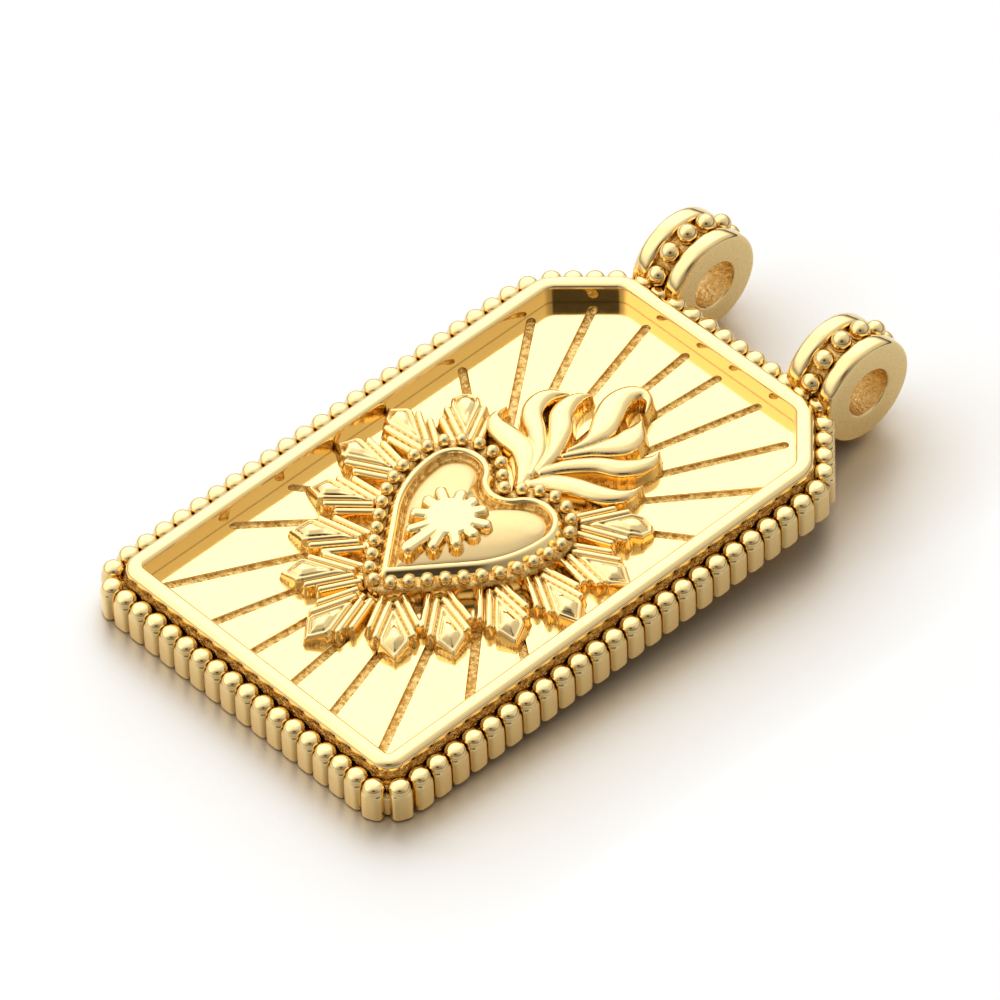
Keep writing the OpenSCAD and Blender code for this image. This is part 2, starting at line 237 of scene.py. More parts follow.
def inside(x, y, poly):
    """Distance to a polygon's edge, positive inside."""
    d, hit = np.full(x.shape, 1e9), np.zeros(x.shape, bool)
    for a, b in zip(poly, np.roll(poly, -1, axis=0)):
        d = np.minimum(d, seg_dist(x, y, a, b))
        cross = (a[1] > y) != (b[1] > y)
        with np.errstate(divide="ignore", invalid="ignore"):
            xi = (b[0] - a[0]) * (y - a[1]) / (b[1] - a[1]) + a[0]
        hit ^= cross & (x < xi)
    return np.where(hit, d, -d)


def curve(points, n):
    """Smooth curve through rows of numbers, with n spans between each two."""
    p = np.asarray(points, float)
    out = []
    for i in range(len(p) - 1):
        a, b, c, d = p[max(i - 1, 0)], p[i], p[i + 1], p[min(i + 2, len(p) - 1)]
        for k in range(n + (i == len(p) - 2)):
            t = k / n
            out.append(0.5 * (2 * b + (c - a) * t + (2 * a - 5 * b + 4 * c - d) * t * t
                              + (3 * b - a - 3 * c + d) * t**3))
    return np.array(out)


def relief(name, lo, hi, step, height, mats, keep, foot, pick=None):
    """A closed body whose top is height(x, y), kept where it is above keep, on a flat foot below."""
    xs, ys = np.arange(lo[0], hi[0] + step, step), np.arange(lo[1], hi[1] + step, step)
    x, y = np.meshgrid(xs, ys)
    z = height(x, y)
    high = np.maximum.reduce([z[:-1, :-1], z[1:, :-1], z[:-1, 1:], z[1:, 1:]])
    cell = high > keep
    for _ in range(20):  # cells that meet only at a corner would leave an edge with four faces
        a, b, c, d = cell[:-1, :-1], cell[1:, 1:], cell[1:, :-1], cell[:-1, 1:]
        cross = (a & b & ~c & ~d) | (c & d & ~a & ~b)
        if not cross.any():
            break
        i, j = np.nonzero(cross)
        cell[i, j] = cell[i + 1, j] = cell[i, j + 1] = cell[i + 1, j + 1] = True
    z = np.maximum(z, keep - 0.08)
    rows, cols = np.nonzero(cell)
    w = len(xs)
    quad = np.column_stack([rows * w + cols, rows * w + cols + 1, (rows + 1) * w + cols + 1, (rows + 1) * w + cols])
    used, quad = np.unique(quad, return_inverse=True)
    quad = quad.reshape(-1, 4)
    top = np.column_stack([x.ravel()[used], y.ravel()[used], z.ravel()[used]])
    sides = np.vstack([quad[:, [0, 1]], quad[:, [1, 2]], quad[:, [2, 3]], quad[:, [3, 0]]])
    key = np.sort(sides, axis=1)
    _, first, count = np.unique(key, axis=0, return_index=True, return_counts=True)
    rim = sides[first[count == 1]]
    ring, inv = np.unique(rim, return_inverse=True)
    inv = inv.reshape(-1, 2) + len(top)
    low = top[ring].copy()
    low[:, 2] = foot
    faces = quad.tolist() + [(b, a, c, d) for (a, b), (c, d) in zip(rim.tolist(), inv.tolist())]
    obj_verts = np.vstack([top, low])
    which = [0] * len(faces)
    if pick is not None:
        mid = top[quad].mean(axis=1)
        which[: len(quad)] = pick(mid, top, quad).astype(int).tolist()
    # the foot is one flat face with holes
    bm = bmesh.new()
    vs = [bm.verts.new(v) for v in low]
    edges = [bm.edges.new((vs[a - len(top)], vs[b - len(top)])) for a, b in inv.tolist()]
    bmesh.ops.triangle_fill(bm, use_beauty=False, use_dissolve=False, edges=edges, normal=(0, 0, -1))
    bm.verts.index_update()
    caps = [tuple(v.index + len(top) for v in f.verts) for f in bm.faces]
    bm.free()
    return new_object(name, obj_verts, faces + caps, mats, which + [0] * len(caps),
                      range(len(faces), len(faces) + len(caps)))


# ---- Materials
def nodes_of(name):
    mat = bpy.data.materials.new(name)
    mat.use_nodes = True
    tree = mat.node_tree
    return mat, tree, tree.nodes["Principled BSDF"]


def link(tree, a, out, b, socket):
    tree.links.new(a.outputs[out], b.inputs[socket])


def noise(tree, coords, scale, detail, rough=0.5):
    n = tree.nodes.new("ShaderNodeTexNoise")
    n.inputs["Scale"].default_value = scale
    n.inputs["Detail"].default_value = detail
    n.inputs["Roughness"].default_value = rough
    link(tree, coords, "Object", n, "Vector")
    return n


def ramp(tree, source, out, stops):
    r = tree.nodes.new("ShaderNodeValToRGB")
    e = r.color_ramp.elements
    while len(e) < len(stops):
        e.new(0.5)
    for el, (pos, col) in zip(e, stops):
        el.position, el.color = pos, (*col, 1)
    link(tree, source, out, r, "Fac")
    return r


def spread(tree, source, out, lo, hi, a, b):
    m = tree.nodes.new("ShaderNodeMapRange")
    m.inputs["From Min"].default_value, m.inputs["From Max"].default_value = lo, hi
    m.inputs["To Min"].default_value, m.inputs["To Max"].default_value = a, b
    link(tree, source, out, m, "Value")
    return m


def bump(tree, height, out, distance, before=None):
    b = tree.nodes.new("ShaderNodeBump")
    b.inputs["Strength"].default_value = 1.0
    b.inputs["Distance"].default_value = distance
    link(tree, height, out, b, "Height")
    if before is not None:
        link(tree, before, "Normal", b, "Normal")
    return b


GAP, WAVE_SCALE = 0.16, 240


def gold(name, light, deep, rough, waves, grain, grain_scale=2600, clouds=420, contrast=0.2, shade=(0.22, 0.11, 0.03)):
    """Cast gold: colour from light to deep, with painted shade towards shade in narrow gaps, a roughness range, slow
    waves, fine grain.
    """
    mat, tree, bsdf = nodes_of(name)
    bsdf.inputs["Metallic"].default_value = 1.0
    coords = tree.nodes.new("ShaderNodeTexCoord")
    cloud = noise(tree, coords, clouds, 4)
    tint = ramp(tree, cloud, "Fac", [(0.5 - contrast, deep), (0.5 + contrast, light)])
    # painted shade: an occlusion test darkens the colour towards shade in narrow gaps, creases and at the feet of
    # walls
    gap_occlusion = tree.nodes.new("ShaderNodeAmbientOcclusion")
    gap_occlusion.samples = 3
    gap_occlusion.inputs["Distance"].default_value = GAP * MM
    link(tree, tint, "Color", gap_occlusion, "Color")
    gap_shade = ramp(tree, gap_occlusion, "AO", [(0.2, shade), (0.54, (1, 1, 1))])
    gap_shaded = tree.nodes.new("ShaderNodeMix")
    gap_shaded.data_type, gap_shaded.blend_type = "RGBA", "MULTIPLY"
    gap_shaded.inputs[0].default_value = 1
    tree.links.new(tint.outputs["Color"], gap_shaded.inputs[6])
    tree.links.new(gap_shade.outputs["Color"], gap_shaded.inputs[7])
    tree.links.new(gap_shaded.outputs[2], bsdf.inputs["Base Color"])
    fine = noise(tree, coords, grain_scale, 5, 0.6)
    link(tree, spread(tree, fine, "Fac", 0.3, 0.7, *rough), "Result", bsdf, "Roughness")
    slow = bump(tree, noise(tree, coords, WAVE_SCALE, 1), "Fac", waves)
    link(tree, bump(tree, fine, "Fac", grain, slow), "Normal", bsdf, "Normal")
    return mat


POLISH = gold("gold_polished", (1.0, 0.76, 0.36), (1.0, 0.74, 0.34), (0.06, 0.13), 5e-5, 5e-7)
SATIN = gold("gold_satin", (0.98, 0.74, 0.34), (0.96, 0.71, 0.31), (0.2, 0.3), 3e-5, 1.2e-6, 5200)
# the cast gold's painted shade in gaps is darker than the others'
ROUGH = gold("gold_cast", (1.0, 0.72, 0.28), (0.6, 0.32, 0.07), (0.12, 0.3), 2e-5, 9e-5, 7000, 4200, 0.1,
             (0.12, 0.05, 0.015))
# the heart's face: satin, with a colour darker than the other gold as painted shade for its dimmer reflection
FACE = gold("gold_face", (0.8, 0.59, 0.28), (0.77, 0.56, 0.26), (0.16, 0.26), 5e-5, 1e-6, 5200)
BORE = gold("gold_bore", (1.0, 0.77, 0.37), (0.92, 0.6, 0.2), (0.14, 0.3), 2e-5, 1.3e-4, 5000, 3000, 0.12)
MATS = [POLISH, SATIN, ROUGH, FACE, BORE]
BRIGHT, SOFT, CAST, PUFFED, BORED = range(len(MATS))

# ---- Plate: the slab under everything, its back and the floor of the trench
slab = Build()
outline = [(-0.13, 0.0), (0.02, 0.0), (0.07, 0.03), (0.1, 0.1), (0.1, 0.9), (0.1, TRENCH_H), (-0.13, TRENCH_H)]
rings = [level([p for p, _ in plate_path(d, 1.3 + d, 0.8 + d, 6)], h) for d, h in outline]
loft(slab, rings, mats=[SOFT] + [BRIGHT] * 4 + [CAST])
slab.done("plate_slab", MATS)

# ---- Ribbed border: upright columns with a bevelled foot and a round head
# radius, height and squareness of each ring, where 2 is a circle
COLUMN = [(0.41, 0, 3.6), (0.438, 0.016, 3.6), (0.457, 0.05, 3.6), (0.468, 0.11, 3.6), (0.47, 0.22, 3.6),
          (0.47, 0.9, 3.5), (0.47, 1.2, 3.3), (0.469, 1.29, 3.0), (0.467, 1.35, 2.6), (0.465, 1.39, 2.25)]
COLUMN += [(0.464 * math.cos(math.radians(t)) ** 0.8, 1.41 + 0.37 * math.sin(math.radians(t)) ** 0.8, 2.0)
           for t in (2, 5, 10, 16, 23, 31, 40, 50, 60, 70, 79, 86)]
ROUND = 40
ROW_ANGLES = [0] * (LOW_RIBS - 1) + [25, 65] + [90] * (SIDE_RIBS - 1) + [135] * CUT_RIBS + [180] * TOP_RIBS


def column_points():
    """One rib, its row along +x, as rings of a rounded square that turns round towards the head."""
    rings = []
    for r, h, power in COLUMN:
        t = 2 * math.pi * np.arange(ROUND) / ROUND
        c, s = np.cos(t), np.sin(t)
        size = (np.abs(c) ** power + np.abs(s) ** power) ** (-1 / power)
        side, outer = 1 + 0.016 * (power - 2), 1 + 0.03 * (power - 2) * (s < 0)
        rings.append(np.column_stack([side * r * size * c, outer * r * size * s, np.full(ROUND, h)]))
    return rings


def turned(points, a):
    c, s = math.cos(math.radians(a)), math.sin(math.radians(a))
    return points @ np.array([[c, s, 0], [-s, c, 0], [0, 0, 1]])


border, rings = Build(), column_points()
for i, (px, py) in enumerate(rib_centres()):
    j = i % len(ROW_ANGLES)
    row_angle = ROW_ANGLES[j] if i == j else -ROW_ANGLES[j]
    loft(border, [turned(r, row_angle) + [px, py, 0] for r in rings])
border.done("ribbed_border", MATS)

# ---- Rim: a smooth rounded ridge round the recess, its inner wall upright and its outer flank left as cast
crest = [(-0.05 - 0.385 * math.copysign(abs(math.cos(t)) ** 0.8, math.cos(t)),
          1.88 + 0.35 * math.sin(t) ** (0.4 if t < 1.5 else 0.75))
         for t in np.radians([4, 10, 18, 28, 40, 53, 66, 78, 90, 102, 114, 127, 140, 152, 162, 170, 176])]
section = np.array([(-0.45, ROOT_H), (-0.448, FLOOR_H), (-0.444, 1.6), (-0.44, 1.86)] + crest
                   + [(0.336, 1.86), (0.36, 1.72), (0.4, 1.6), (0.43, 1.5), (0.43, ROOT_H)])
rim = Build()
rim_rings = []
for p, n in plate_path(-RIM_INSET, 0.6, 1.2, 10):
    rim_rings.append(np.array([[p[0] + q[0] * n[0], p[1] + q[0] * n[1], q[1]] for q in section]))
flank = [BRIGHT] * (len(section) - 5) + [CAST] * 3 + [BRIGHT] * 2
rim.add(np.vstack(rim_rings), ring_faces(len(rim_rings), len(section), True), flank * len(rim_rings))
rim.done("rim", MATS)

# ---- Recessed floor with the sunk rays
GROOVE_W, GROOVE_D, RAY_START, RAY_GAP, FIELD_INSET = 0.42, 0.15, 3.5, 0.3, 1.35
RAYS = [4.5, 15.3, 26.7, 38, 54.5, 124, 138.3, 152, 163.7, 174.3]


def ray_reach(a):
    side, end = PLATE_W / 2 - FIELD_INSET, RAY_Y - FIELD_INSET
    leg = CHAMFER - (2 - math.sqrt(2)) * FIELD_INSET
    c, s = math.cos(math.radians(a)), math.sin(math.radians(a))
    return min(side / s, end / abs(c), (side + end - leg) / (s + c) if c > 0 else 100)


RAY_STEP, RAY_GRAIN, EDGE_WAVE, START_BOW = 0.06, 0.022, 0.02, 0.03
ACROSS = np.array([-1, -0.93, -0.84, -0.62, -0.36, -0.1, 0.16, 0.42, 0.66, 0.84, 0.93, 1])
DEPTH = np.array([0, 0.35, 0.85, 0.98, 1.0, 1.0, 1.0, 1.0, 0.98, 0.85, 0.35, 0])
rng = np.random.default_rng(7)


def sunk_ray(field, a, side):
    """Adds the walls and the rough bottom of one ray to the field, and returns the loop round its mouth."""
    u = np.array([side * math.sin(math.radians(a)), math.cos(math.radians(a))])
    v = np.array([-u[1], u[0]])
    half, n = GROOVE_W / 2, len(ACROSS)
    reach = ray_reach(a) - RAY_GAP - half
    along = np.concatenate([[RAY_START], np.arange(RAY_START + RAY_STEP / 2, reach, RAY_STEP),
                            reach + half * np.sin(np.radians([0, 20, 38, 54, 68, 79]))])
    rows = []
    for i, s in enumerate(along):
        w = half * math.sqrt(max(1 - (max(s - reach, 0) / half) ** 2, 0))
        w *= 1 + EDGE_WAVE * math.sin(37 * s)
        sink = GROOVE_D * (0 if i == 0 else min(1, w / half * 1.2))
        rough = rng.uniform(-RAY_GRAIN, RAY_GRAIN, n) * (DEPTH > 0.8)
        bow = START_BOW * (1 - ACROSS**2) * (i == 0)
        pts = np.array([0, RAY_Y]) + (s - bow)[:, None] * u + (ACROSS * w)[:, None] * v
        rows.append(np.column_stack([pts, FLOOR_H - sink * (DEPTH + rough / GROOVE_D)]))
    tip = np.array([0, RAY_Y]) + (reach + half) * u
    verts = np.vstack(rows + [np.array([[tip[0], tip[1], FLOOR_H]])])
    faces = [(i * n + j, i * n + j + 1, (i + 1) * n + j + 1, (i + 1) * n + j)
             for i in range(len(rows) - 1) for j in range(n - 1)]
    last = (len(rows) - 1) * n
    faces += [(last + j, last + j + 1, len(verts) - 1) for j in range(n - 1)]
    base = field.add(verts, faces, [CAST if 0 < f[0] % n < n - 2 or len(f) == 3 else BRIGHT for f in faces])
    loop = list(range(n)) + [i * n + n - 1 for i in range(1, len(rows))] + [len(verts) - 1]
    loop += [i * n for i in range(len(rows) - 1, 0, -1)]
    return [base + i for i in loop]


field = Build()
mouths = [sunk_ray(field, a, side) for a in RAYS for side in (1, -1)]
edge_path = [p for p, _ in plate_path(-RIM_INSET - 0.06, 0.5, 1.1, 6)]
outer_top = field.add(level(edge_path, FLOOR_H), [])
outer_low = field.add(level(edge_path, ROOT_H), [])
n = len(edge_path)
field.faces += [(outer_low + j, outer_low + (j + 1) % n, outer_top + (j + 1) % n, outer_top + j) for j in range(n)]
field.which += [BRIGHT] * n
# the flat metal between the rays: the triangles that lie in the outer loop and in no ray's mouth
order = [outer_top + j for j in range(n)] + [i for mouth in mouths for i in mouth]
place = {v: i for i, v in enumerate(order)}
loops = [list(range(n))] + [[place[v] for v in reversed(mouth)] for mouth in mouths]
plan = [Vector(field.verts[v][:2]) for v in order]
_, _, triangles, origins, _, owners = delaunay_2d_cdt(plan, [], loops, 1, 1e-7)
flat_faces = [tuple(order[origins[i][0]] for i in f) for f, own in zip(triangles, owners) if own == [0]]
start = len(field.faces)
field.faces += flat_faces + [tuple(outer_low + j for j in range(n))]
field.which += [BRIGHT] * (len(flat_faces) + 1)
field.flat += list(range(start, len(field.faces)))
field.done("recess_floor", MATS)

# ---- Leaf fans: foot x and y, and the direction that each points in
FANS = [(0, 6.65, -90), (1.2, 7.5, -41.7), (2.45, 9.0, -32.5), (3.6, 10.9, -25), (4.42, 12.8, -10.5),
        (4.4, 14.62, 12), (3.5, 16.1, 43)]
FAN_L, FAN_WIDE, LEAF_H, ROD_R, WALL = 3.07, 0.65, 1.98, 0.155, 5


def rod_height(d, top, r):
    """Height of a round rod at distance d from its middle line."""
    e = 0.9 * r
    dome = np.sqrt(np.maximum(r * r - np.minimum(d, e) ** 2, 0)) - r
    return top + dome - WALL * np.maximum(d - e, 0)


def one_fan(u, w, last):
    """Height of a leaf and its rods at u along and w across it; the last fan has a blunt leaf."""
    wide = FAN_L - 0.8
    if last:
        kite = [(0.3, -0.02), (wide - 0.25, -0.64), (wide + 0.35, -0.6), (FAN_L - 0.08, -0.2), (FAN_L - 0.08, 0.2),
                (wide + 0.35, 0.6), (wide - 0.25, 0.64), (0.3, 0.02)]
    else:
        kite = [(0.3, -0.02), (wide - 0.2, -FAN_WIDE + 0.02), (wide + 0.1, -FAN_WIDE + 0.03), (FAN_L, 0),
                (wide + 0.1, FAN_WIDE - 0.03), (wide - 0.2, FAN_WIDE - 0.02), (0.3, 0.02)]
    d = inside(u, w, np.array(kite))
    head = step_up((u - 1.25) / 0.5)
    top = LEAF_H - 0.26 * step_up((u - wide + 0.2) / (FAN_L - wide + 0.2))
    leaf = top - 0.1 * (1 - step_up((d + 0.02) / 0.13)) + WALL * np.minimum(d, 0)
    leaf -= 0.1 * np.exp(-(((d - 0.2) / 0.034) ** 2)) * step_up(u / 0.8)
    leaf += head * 0.1 * step_up((d - 0.23) / 0.26) - (1 - head) * 0.05 * np.exp(-((w / 0.04) ** 2))
    z = leaf
    for side in (-1, 1):
        inner = seg_dist(u, w, (0.05, 0.165 * side), (1.9, 0.79 * side))
        outer = seg_dist(u, w, (-0.3, 0.44 * side), (1.3, 1.0 * side))
        z = smax(z, rod_height(inner, LEAF_H - 0.03, ROD_R), 0.03)
        z = smax(z, rod_height(outer, LEAF_H - 0.06, ROD_R), 0.03)
    pad = inside(u, w, np.array([(-0.5, -0.62), (1.1, -1.05), (1.75, -0.75), (1.75, 0.75), (1.1, 1.05), (-0.5, 0.62)]))
    return smax(z, LEAF_H - 0.4 + WALL * np.minimum(pad, 0), 0.03)


def fans_height(x, y):
    z = np.full(x.shape, -1.0)
    for i, (fx, fy, fa) in enumerate(FANS):
        for side in ((1,) if fx == 0 else (1, -1)):
            c, s = math.cos(math.radians(fa)) * side, math.sin(math.radians(fa))
            u, w = (x - side * fx) * c + (y - fy) * s, -(x - side * fx) * s + (y - fy) * c
            near = (u > -1) & (u < FAN_L + 0.4) & (np.abs(w) < 1.5)
            z[near] = smax(z[near], one_fan(u[near], w[near], i == len(FANS) - 1), 0.02)
    split = (np.abs(x) < 0.2) & (y < 7.3) & (y > 6.2)
    z[split] -= 0.5 * np.exp(-((x[split] / 0.05) ** 2)) * step_up((y[split] - 6.2) / 0.3)
    return z


def rough_low(mid, top, quad):
    """Rough cast metal low down and on steep walls."""
    p = top[quad]
    drop = np.ptp(p[:, :, 2], axis=1)
    size = np.ptp(p[:, :, 0], axis=1)
    return np.where((mid[:, 2] < FLOOR_H + 0.16) & (drop > size * 1.2), CAST, BRIGHT)


relief("leaf_fans", (-7.4, 3.2), (7.4, 19.2), 0.042, fans_height, MATS, FLOOR_H - 0.03, ROOT_H, rough_low)

# ---- Heart: skirt, bezel and puffed face
BEAD_R, BEAD_OUT, BEAD_H, BEADS = 0.285, 0.72, 2.45 - 0.14, 17
heart = Build()
rows = [(0.98, ROOT_H), (0.98, 1.86), (0.972, 1.95), (0.945, 2.03), (0.9, 2.085), (0.83, 2.115), (0.7, 2.12),
        (0.5, 2.12), (0.42, 2.13), (0.37, 2.17), (0.31, 2.24), (0.23, 2.33), (0.16, 2.4), (0.1, 2.435), (0.04, 2.449),
        (-0.01, 2.45), (-0.05, 2.435), (-0.08, 2.4), (-0.12, 2.29), (-0.16, 2.17), (-0.2, 2.09), (-0.25, 2.06),
        (-0.28, 2.07)]
rings = [level(heart_ring(d), h) for d, h in rows]
face_ring, centre = heart_ring(-0.3), np.array([0, LOBE_Y - 1.9])
for k, h in ((1, 2.1), (0.97, 2.16), (0.92, 2.22), (0.84, 2.295), (0.72, 2.385), (0.56, 2.48), (0.4, 2.55),
             (0.25, 2.595), (0.12, 2.615), (0.05, 2.62)):
    rings.append(level(centre + k * (face_ring - centre), h))
loft(heart, rings, mats=[BRIGHT] + [CAST] * 8 + [BRIGHT] * 9 + [CAST] * 4 + [PUFFED] * 10)
heart.done("heart", MATS)

bead, bead_faces = ball(4)
beads = Build()
half = heart_half(BEAD_OUT)
length = np.concatenate([[0], np.cumsum(np.hypot(*np.diff(half, axis=0).T))])
for i in range(BEADS + 2):
    s = length[-1] * i / (BEADS + 1)
    px, py = (np.interp(s, length, half[:, k]) for k in (0, 1))
    for side in (1, -1) if 0 < i <= BEADS else (1,):
        beads.add(bead * BEAD_R + [side * px, py, BEAD_H], bead_faces)
beads.done("heart_beads", MATS)

# ---- Starburst: angle from straight down, reach and half width of each ray, those at the sides in pairs
STAR_H, STAR_Y = 2.95, 11.95
STAR_RAYS = [(0, 2.75, 0.29), (22, 2.0, 0.23), (55, 1.72, 0.25), (90, 1.6, 0.26), (118, 1.78, 0.25), (152, 1.6, 0.26),
             (180, 1.5, 0.26)]


def star_height(x, y):
    d = 1.09 - np.hypot(x, y - STAR_Y)
    for a, reach, half in STAR_RAYS:
        for side in (1,) if a in (0, 180) else (1, -1):
            e = polar(reach - half, side * a - 90)
            d = smax(d, half - seg_dist(x, y, (0, STAR_Y), (e[0], STAR_Y + e[1])), 0.05)
    top = STAR_H - 0.035 * (1 - step_up(d / 0.5)) - 0.075 * (1 - step_up(d / 0.13))
    return top + 5.5 * np.minimum(d, 0)


relief("starburst", (-2.1, 8.8), (2.1, 13.9), 0.03, star_height, MATS, 2.0, 1.6)

# ---- Flames: how far each tongue is lifted, then x, y and width at points along its middle
FLAMES = [
    (0.00, [(0, 15.9, 0.5), (-0.5, 16.7, 0.75), (-1.3, 17.35, 0.9), (-2.3, 17.5, 0.95), (-3.2, 17.6, 0.75),
            (-3.65, 18.0, 0.4), (-3.7, 18.65, 0.05)]),
    (0.03, [(-0.1, 16.6, 0.35), (-0.7, 17.7, 0.55), (-1.7, 18.5, 0.7), (-2.6, 19.1, 0.8), (-2.95, 19.8, 0.75),
            (-2.85, 20.5, 0.55), (-2.35, 21.0, 0.1)]),
    (0.06, [(0, 17.0, 0.35), (-0.35, 18.2, 0.6), (-1.0, 19.2, 0.85), (-1.65, 19.9, 0.85), (-1.9, 20.6, 0.7),
            (-1.85, 21.2, 0.45), (-1.6, 21.65, 0.05)]),
    (0.10, [(0.1, 18.6, 0.2), (0.3, 19.6, 0.5), (0.2, 20.5, 0.95), (-0.2, 21.3, 1.05), (-0.5, 22.0, 1.0),
            (-0.5, 22.7, 0.8), (-0.15, 23.15, 0.55), (0.35, 23.1, 0.35), (0.8, 22.5, 0.1)]),
    (0.05, [(0.15, 18.3, 0.3), (0.7, 19.2, 0.45), (1.15, 19.9, 0.8), (1.45, 20.6, 1.0), (1.35, 21.3, 0.85),
            (1.0, 22.1, 0.1)]),
    (0.03, [(0.15, 17.0, 0.4), (0.6, 17.9, 0.6), (1.5, 18.9, 0.7), (2.4, 19.5, 0.8), (2.9, 20.2, 0.65),
            (3.0, 20.8, 0.5), (2.85, 21.3, 0.05)]),
    (0.00, [(0.3, 16.2, 0.5), (0.9, 16.9, 0.8), (1.8, 17.4, 0.85), (2.8, 17.8, 0.8), (3.5, 18.3, 0.6),
            (3.75, 18.8, 0.4), (3.75, 19.4, 0.05)]),
]
FLAME_H = 2.13


def flames_height(x, y):
    z = np.full(x.shape, -1.0)
    for lift, points in FLAMES:
        line = curve(points, 14)
        best, hit = np.full(x.shape, 1e9), np.zeros(x.shape, int)
        for i, (a, b, _) in enumerate(line):
            d = (x - a) ** 2 + (y - b) ** 2
            closer = d < best
            best[closer], hit[closer] = d[closer], i
        d, t = np.sqrt(best), hit / (len(line) - 1)
        half = np.maximum(line[hit, 2] * 0.6, 0.05)
        s = np.minimum(d / half, 1)
        top = FLAME_H + lift - 0.12 * (1 - step_up(t / 0.35)) - 0.12 * step_up((t - 0.72) / 0.28)
        top = top + 0.14 * (np.minimum(half, 0.5) - 0.3)
        tongue = top - 0.24 * (1 - (1 - (0.99 * s) ** 2.4) ** 0.5) - 0.05 * s - 5.5 * np.maximum(d - half, 0)
        z = smax(z, tongue, 0.025)
    return z


relief("flames", (-4.6, 15.2), (4.6, 24.2), 0.036, flames_height, MATS, FLOOR_H - 0.03, ROOT_H, rough_low)

# ---- Bails: two flanges with a bead channel between, and a bore through
BAIL_PITCH, BAIL_R, BORE_R, AXIS_H = 9.3, 2.47, 1.14, 1.1
BAIL_Y, CHANNEL_R, BEAD_RING_R, BAIL_BEAD_R, BEAD_PLACES = PLATE_L + 2.22, 2.06, 2.33, 0.465, 13
# radius and distance from the middle along one half of a bail, from the channel out and down into the bore
half_section = [(CHANNEL_R, 0.0), (CHANNEL_R, 0.25), (CHANNEL_R, 0.465), (CHANNEL_R + 0.03, 0.49),
                (2.2, 0.495), (2.3, 0.51), (2.38, 0.55), (2.43, 0.61), (2.46, 0.7), (BAIL_R, 0.85),
                (BAIL_R, 1.05), (2.455, 1.17), (2.425, 1.26), (2.38, 1.32), (2.32, 1.355),
                (2.26, 1.368), (1.9, 1.37), (1.6, 1.37), (1.25, 1.37), (1.19, 1.36), (1.155, 1.335),
                (BORE_R, 1.29), (BORE_R, 0.9), (BORE_R, 0.5), (BORE_R, 0.15)]
half_mats = [CAST] * 4 + [BRIGHT] * 11 + [SOFT] * 3 + [BRIGHT] * 3 + [BORED] * 4
section = half_section + [(r, -x) for r, x in reversed(half_section[1:])]
section_mats = half_mats + half_mats[-2::-1]
bail_mesh, steps = Build(), 96
for side in (-1, 1):
    verts = [(x, r * math.cos(2 * math.pi * j / steps), r * math.sin(2 * math.pi * j / steps))
             for r, x in section for j in range(steps)]
    at = np.array([side * BAIL_PITCH / 2, BAIL_Y, AXIS_H])
    which = [m for m in section_mats for _ in range(steps)]
    bail_mesh.add(np.array(verts) + at, ring_faces(len(section), steps, True), which)
bail_mesh.done("bails", MATS)
bail_beads = Build()
for side in (-1, 1):
    for i in range(1, BEAD_PLACES):  # the plate takes the place of the first
        a = math.pi + 2 * math.pi * i / BEAD_PLACES
        at = np.array([side * BAIL_PITCH / 2, BAIL_Y + BEAD_RING_R * math.cos(a), AXIS_H + BEAD_RING_R * math.sin(a)])
        bail_beads.add(bead * BAIL_BEAD_R + at, bead_faces)
    for dx in (-1.0, 1.0):  # a small round of metal in the corner under each flange
        at = np.array([side * BAIL_PITCH / 2 + dx, PLATE_L + 0.12, 1.35])
        bail_beads.add(bead * [0.3, 0.26, 0.22] + at, bead_faces)
bail_beads.done("bail_beads", MATS)

# ---- Stage: a pale floor that the bails and the plate's lower edge rest on
REST_SPAN, REST_Y = 30.48, 13.63  # from the lower edge's back to the bails' lowest beads, and where those are
SHEEN_SHARE, SHEEN_ROUGHNESS, SHADOW_REACH = 0.62, 0.44, 7
# colours of the floor's painted shadow, for its matte and gloss parts, from beside the gold out to open floor
SHADOW_MATTE_STOPS = [(0.25, (0.88, 0.72, 0.48)), (0.5, (0.68, 0.57, 0.43)), (0.8, (0.64, 0.57, 0.47)), (0.97, (0.95, 0.94, 0.93))]
SHADOW_GLOSS_STOPS = [(0.25, (0.86, 0.71, 0.48)), (0.5, (0.54, 0.46, 0.36)), (0.8, (0.45, 0.405, 0.35)),
         (0.97, (0.74, 0.735, 0.725))]
bpy.ops.mesh.primitive_plane_add(size=3)
floor = bpy.context.object
floor.name = "floor"
floor.rotation_euler = (-math.atan2(BACK_Z, REST_SPAN), 0, 0)
floor.location = (0, REST_Y * MM, -0.00001)
floor_mat, tree, bsdf = nodes_of("floor_pale")
tree.nodes.remove(bsdf)
matte, gloss = tree.nodes.new("ShaderNodeBsdfDiffuse"), tree.nodes.new("ShaderNodeBsdfAnisotropic")
both = tree.nodes.new("ShaderNodeMixShader")
gloss.inputs["Roughness"].default_value = SHEEN_ROUGHNESS
both.inputs[0].default_value = SHEEN_SHARE
coords = tree.nodes.new("ShaderNodeTexCoord")
grain = bump(tree, noise(tree, coords, 3000, 2), "Fac", 5e-6)
link(tree, grain, "Normal", gloss, "Normal")
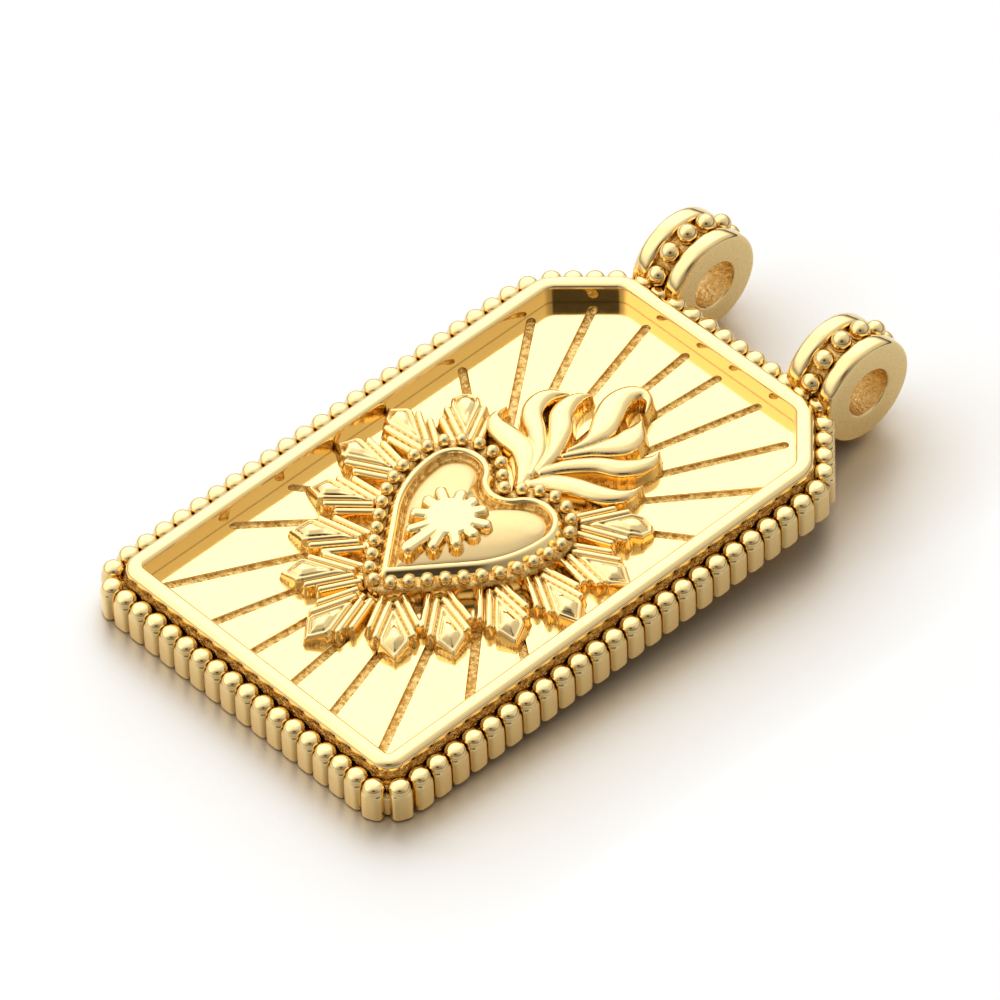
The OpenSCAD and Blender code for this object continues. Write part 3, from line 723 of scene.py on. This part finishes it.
# painted shadow on the floor: an occlusion test, leant away from the key light, turns the floor brown beside the gold,
# lighter and golden right at its foot as a painted bounce from it
painted_shadow = tree.nodes.new("ShaderNodeAmbientOcclusion")
painted_shadow.samples = 2
painted_shadow.inputs["Distance"].default_value = SHADOW_REACH * MM
facing = tree.nodes.new("ShaderNodeNewGeometry")
leant, to_key = tree.nodes.new("ShaderNodeVectorMath"), tree.nodes.new("ShaderNodeVectorMath")
leant.inputs[1].default_value = (-1.2, 0.1, 0)
to_key.operation = "NORMALIZE"
link(tree, facing, "Normal", leant, 0)
link(tree, leant, "Vector", to_key, 0)
link(tree, to_key, "Vector", painted_shadow, "Normal")
link(tree, ramp(tree, painted_shadow, "AO", SHADOW_MATTE_STOPS), "Color", matte, "Color")
link(tree, ramp(tree, painted_shadow, "AO", SHADOW_GLOSS_STOPS), "Color", gloss, "Color")
link(tree, matte, "BSDF", both, 1)
link(tree, gloss, "BSDF", both, 2)
link(tree, both, "Shader", tree.nodes["Material Output"], "Surface")
floor.data.materials.append(floor_mat)

# ---- Camera at the photograph's angle
AZ, EL, ROLL, TX, TY, DIST, FOCAL = 48.0647, 45.5945, -2.3005, 1.4052, 0.7932, 342.9451, 8164.48
AIM, SENSOR, PHOTO_PIXELS = Vector((0, 0.24465, 3.15287)), 36, 1000
a, e, r = (math.radians(v) for v in (AZ, EL, ROLL))
back_dir = Vector((math.sin(a) * math.cos(e), -math.cos(a) * math.cos(e), math.sin(e)))
right_dir = Vector((math.cos(a), math.sin(a), 0))
up_dir = back_dir.cross(right_dir)
cam_x = math.cos(r) * right_dir + math.sin(r) * up_dir
cam_y = -math.sin(r) * right_dir + math.cos(r) * up_dir
eye = (-TX * cam_x - TY * cam_y + DIST * back_dir + AIM) * MM
camera = bpy.data.objects.new("camera", bpy.data.cameras.new("camera"))
bpy.context.scene.collection.objects.link(camera)
turn = Matrix((cam_x, cam_y, back_dir)).transposed()
camera.matrix_world = Matrix.Translation(eye) @ turn.to_4x4()
camera.data.lens = FOCAL / PHOTO_PIXELS * SENSOR
camera.data.sensor_width = SENSOR
camera.data.clip_start = 0.01
camera.data.clip_end = 10
bpy.context.scene.camera = camera

# ---- Light: a faint wide lamp for the shadow, and a soft studio whose boxes and card the polished gold mirrors
sun = bpy.data.objects.new("soft_key", bpy.data.lights.new("soft_key", "SUN"))
sun.data.energy = 0.12
sun.data.angle = math.radians(58)
sun.rotation_euler = Vector((-0.5, 0.42, 0.76)).to_track_quat("Z", "Y").to_euler()
bpy.context.scene.collection.objects.link(sun)

world = bpy.data.worlds.new("studio")
bpy.context.scene.world = world
world.use_nodes = True
tree = world.node_tree
coords = tree.nodes.new("ShaderNodeTexCoord")


def lobe(direction, inner, outer, a, b):
    """Value that goes from a beyond outer degrees to b within inner degrees of a direction."""
    dot = tree.nodes.new("ShaderNodeVectorMath")
    dot.operation = "DOT_PRODUCT"
    link(tree, coords, "Generated", dot, 0)
    dot.inputs[1].default_value = Vector(direction).normalized()
    m = spread(tree, dot, "Value", math.cos(math.radians(outer)), math.cos(math.radians(inner)), a, b)
    m.interpolation_type = "SMOOTHSTEP"
    return m


def combine(op, a, b):
    m = tree.nodes.new("ShaderNodeMath")
    m.operation = op
    link(tree, a, 0, m, 0)
    link(tree, b, 0, m, 1)
    return m


# direction, full within and gone beyond so many degrees, value outside and inside
key = lobe((-0.61, 0.55, 0.57), 12, 44, 0.0, 0.62)
second = lobe((-0.52, -0.47, 0.71), 12, 40, 0.0, 0.3)
left_box = lobe((-0.8, -0.3, 0.5), 20, 120, 0.66, 1.1)
near_side = lobe((0.58, -0.52, 0.3), 20, 72, 1.0, 0.42)
dark_card = lobe((0.52, -0.49, 0.7), 6, 19, 1.0, 0.16)
upward = tree.nodes.new("ShaderNodeSeparateXYZ")
link(tree, coords, "Generated", upward, 0)
horizon = spread(tree, upward, "Z", 0.03, 0.24, 0.12, 1.0)
light = combine("MULTIPLY", combine("ADD", combine("ADD", key, second), left_box), near_side)
light = combine("MULTIPLY", combine("MULTIPLY", light, dark_card), horizon)
warmth = ramp(tree, near_side, "Result", [(0.42, (1, 0.98, 0.94)), (1.0, (1, 1, 1))])
sky = tree.nodes["Background"]
link(tree, light, "Value", sky, "Strength")
link(tree, warmth, "Color", sky, "Color")

bpy.context.scene.view_settings.view_transform = "Standard"
